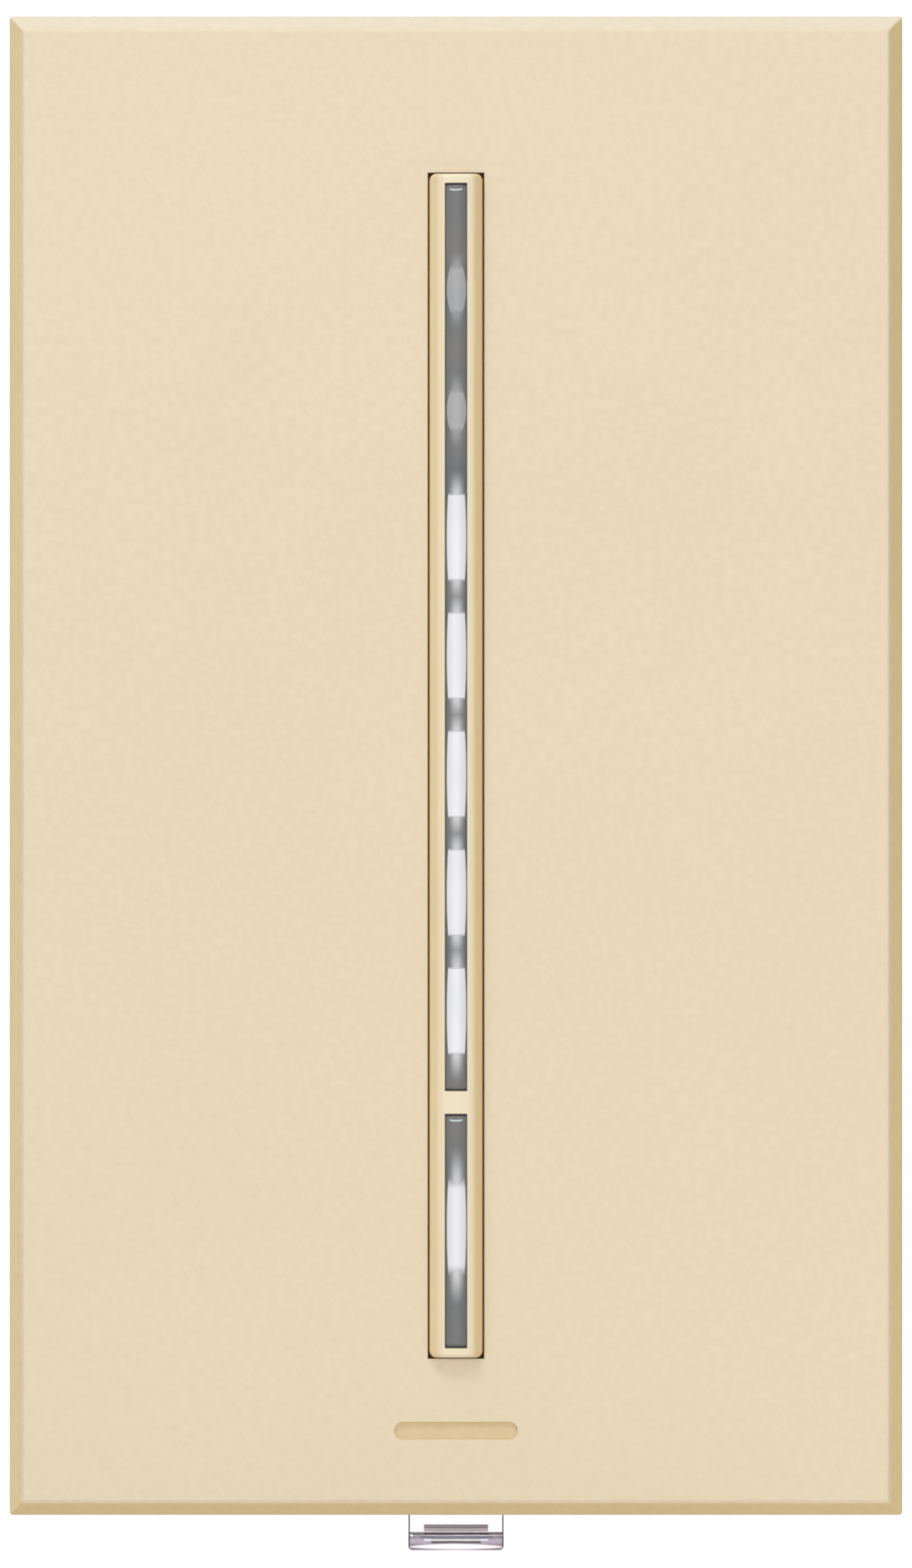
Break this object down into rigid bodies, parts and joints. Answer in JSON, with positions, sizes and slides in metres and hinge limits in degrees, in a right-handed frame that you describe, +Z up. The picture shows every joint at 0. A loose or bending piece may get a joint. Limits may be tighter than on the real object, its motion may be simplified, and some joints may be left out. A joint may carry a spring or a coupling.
{
  "type": "touch dimmer switch with air-gap slide",
  "caption": "One-gang wall dimmer: beveled cover plate with a tall raised light bar of two touch bars, and a clear air-gap pull slide under the plate.",
  "frame": {"origin": "midway between the two box screws, in the plane of the wall surface and of the yoke's back face", "axes": "+X to the right seen from the room, +Y into the wall, +Z up; the face of the plate looks along -Y"},
  "size_m": [0.075, 0.0421, 0.129],
  "materials": {
    "ivory_matte": "fine matte grain, light almond",
    "ivory_gloss": "satin smooth, light almond",
    "black_nylon": "matte black",
    "yoke_aluminium": "mill finish, brushed along its length",
    "screw_steel": "zinc plated",
    "ground_green": "green dyed steel",
    "smoke_lens": "smoke grey translucent plastic",
    "elastomer": "soft black silicone",
    "touch_film": "amber polyester film",
    "lamp_white": "white lamp resin",
    "light_guide": "clear moulded light guide",
    "board_green": "glass-epoxy board with solder mask",
    "header_black": "black connector resin",
    "clear_slider": "clear polycarbonate, gloss",
    "contact_copper": "bare copper alloy",
    "contact_silver": "silver alloy contact",
    "black_case": "matte black, fine spark texture",
    "label_white": "blank white label",
    "terminal_brass": "plain brass",
    "plated_steel": "nickel plated",
    "insulating_card": "fish-paper insulating card",
    "chip_black": "black moulding resin",
    "silicone_pad": "grey silicone pad",
    "rivet_aluminium": "aluminium rivet",
    "ferrite": "powdered-iron core, yellow coating",
    "winding_copper": "enamelled copper winding",
    "capacitor_box": "blue moulded box",
    "capacitor_can": "black sleeve on an aluminium can",
    "varistor_blue": "blue epoxy",
    "fuse_glass": "glass tube, plated caps",
    "resistor_tan": "tan lacquer"
  },
  "bodies": {
    "housing": {"cover_plate": "ivory_matte", "adapter_plate": "black_nylon", "yoke": "yoke_aluminium", "box_screws": "screw_steel", "adapter_screws": "screw_steel", "bezel_screws": "screw_steel", "case_screws": "screw_steel", "ground_screw": "ground_green", "bezel": "ivory_gloss", "dimming_elastomer": "elastomer", "switch_elastomer": "elastomer", "touch_strip": "touch_film", "lamps": "lamp_white", "light_pipes": "light_guide", "display_board": "board_green", "display_header": "header_black", "header_socket": "header_black", "leaf_anchor": "contact_copper", "fixed_contact": "contact_copper", "back_cover": "black_case", "rating_label": "label_white", "terminal_screws": "terminal_brass", "pressure_plates": "plated_steel", "terminal_nuts": "terminal_brass", "power_board": "board_green", "insulator_sheet": "insulating_card", "triac": "chip_black", "triac_pad": "silicone_pad", "triac_rivet": "rivet_aluminium", "choke_core": "ferrite", "choke_winding": "winding_copper", "film_capacitor": "capacitor_box", "electrolytic_capacitor": "capacitor_can", "varistor": "varistor_blue", "fuse": "fuse_glass", "resistors": "resistor_tan", "controller": "chip_black"},
    "dimming_bar": {"dimming_bar": "smoke_lens"},
    "switch_bar": {"switch_bar": "smoke_lens"},
    "airgap_slider": {"airgap_slider": "clear_slider"},
    "airgap_leaf": {"airgap_leaf": "contact_copper", "moving_contact": "contact_silver"}
  },
  "joints": [
    {"name": "dimming_bar_press", "type": "slide", "parent": "housing", "child": "dimming_bar", "axis": [0, 1, 0], "range_m": [0, 0.0003], "stiffness_N_per_m": 800, "deforming": ["dimming_elastomer"]},
    {"name": "switch_bar_press", "type": "slide", "parent": "housing", "child": "switch_bar", "axis": [0, 1, 0], "range_m": [0, 0.0003], "stiffness_N_per_m": 800, "deforming": ["switch_elastomer"]},
    {"name": "airgap_pull", "type": "slide", "parent": "housing", "child": "airgap_slider", "axis": [0, 0, -1], "range_m": [0, 0.0045]},
    {"name": "airgap_leaf_turn", "type": "hinge", "parent": "housing", "child": "airgap_leaf", "pos_m": [-0.013, 0.00335, -0.023], "axis": [0, 0, 1], "range_deg": [0, 6.76]}
  ],
  "couplings": [
    {"joint": "airgap_leaf_turn", "follows": "airgap_pull", "rad_per_m": 26.18}
  ]
}
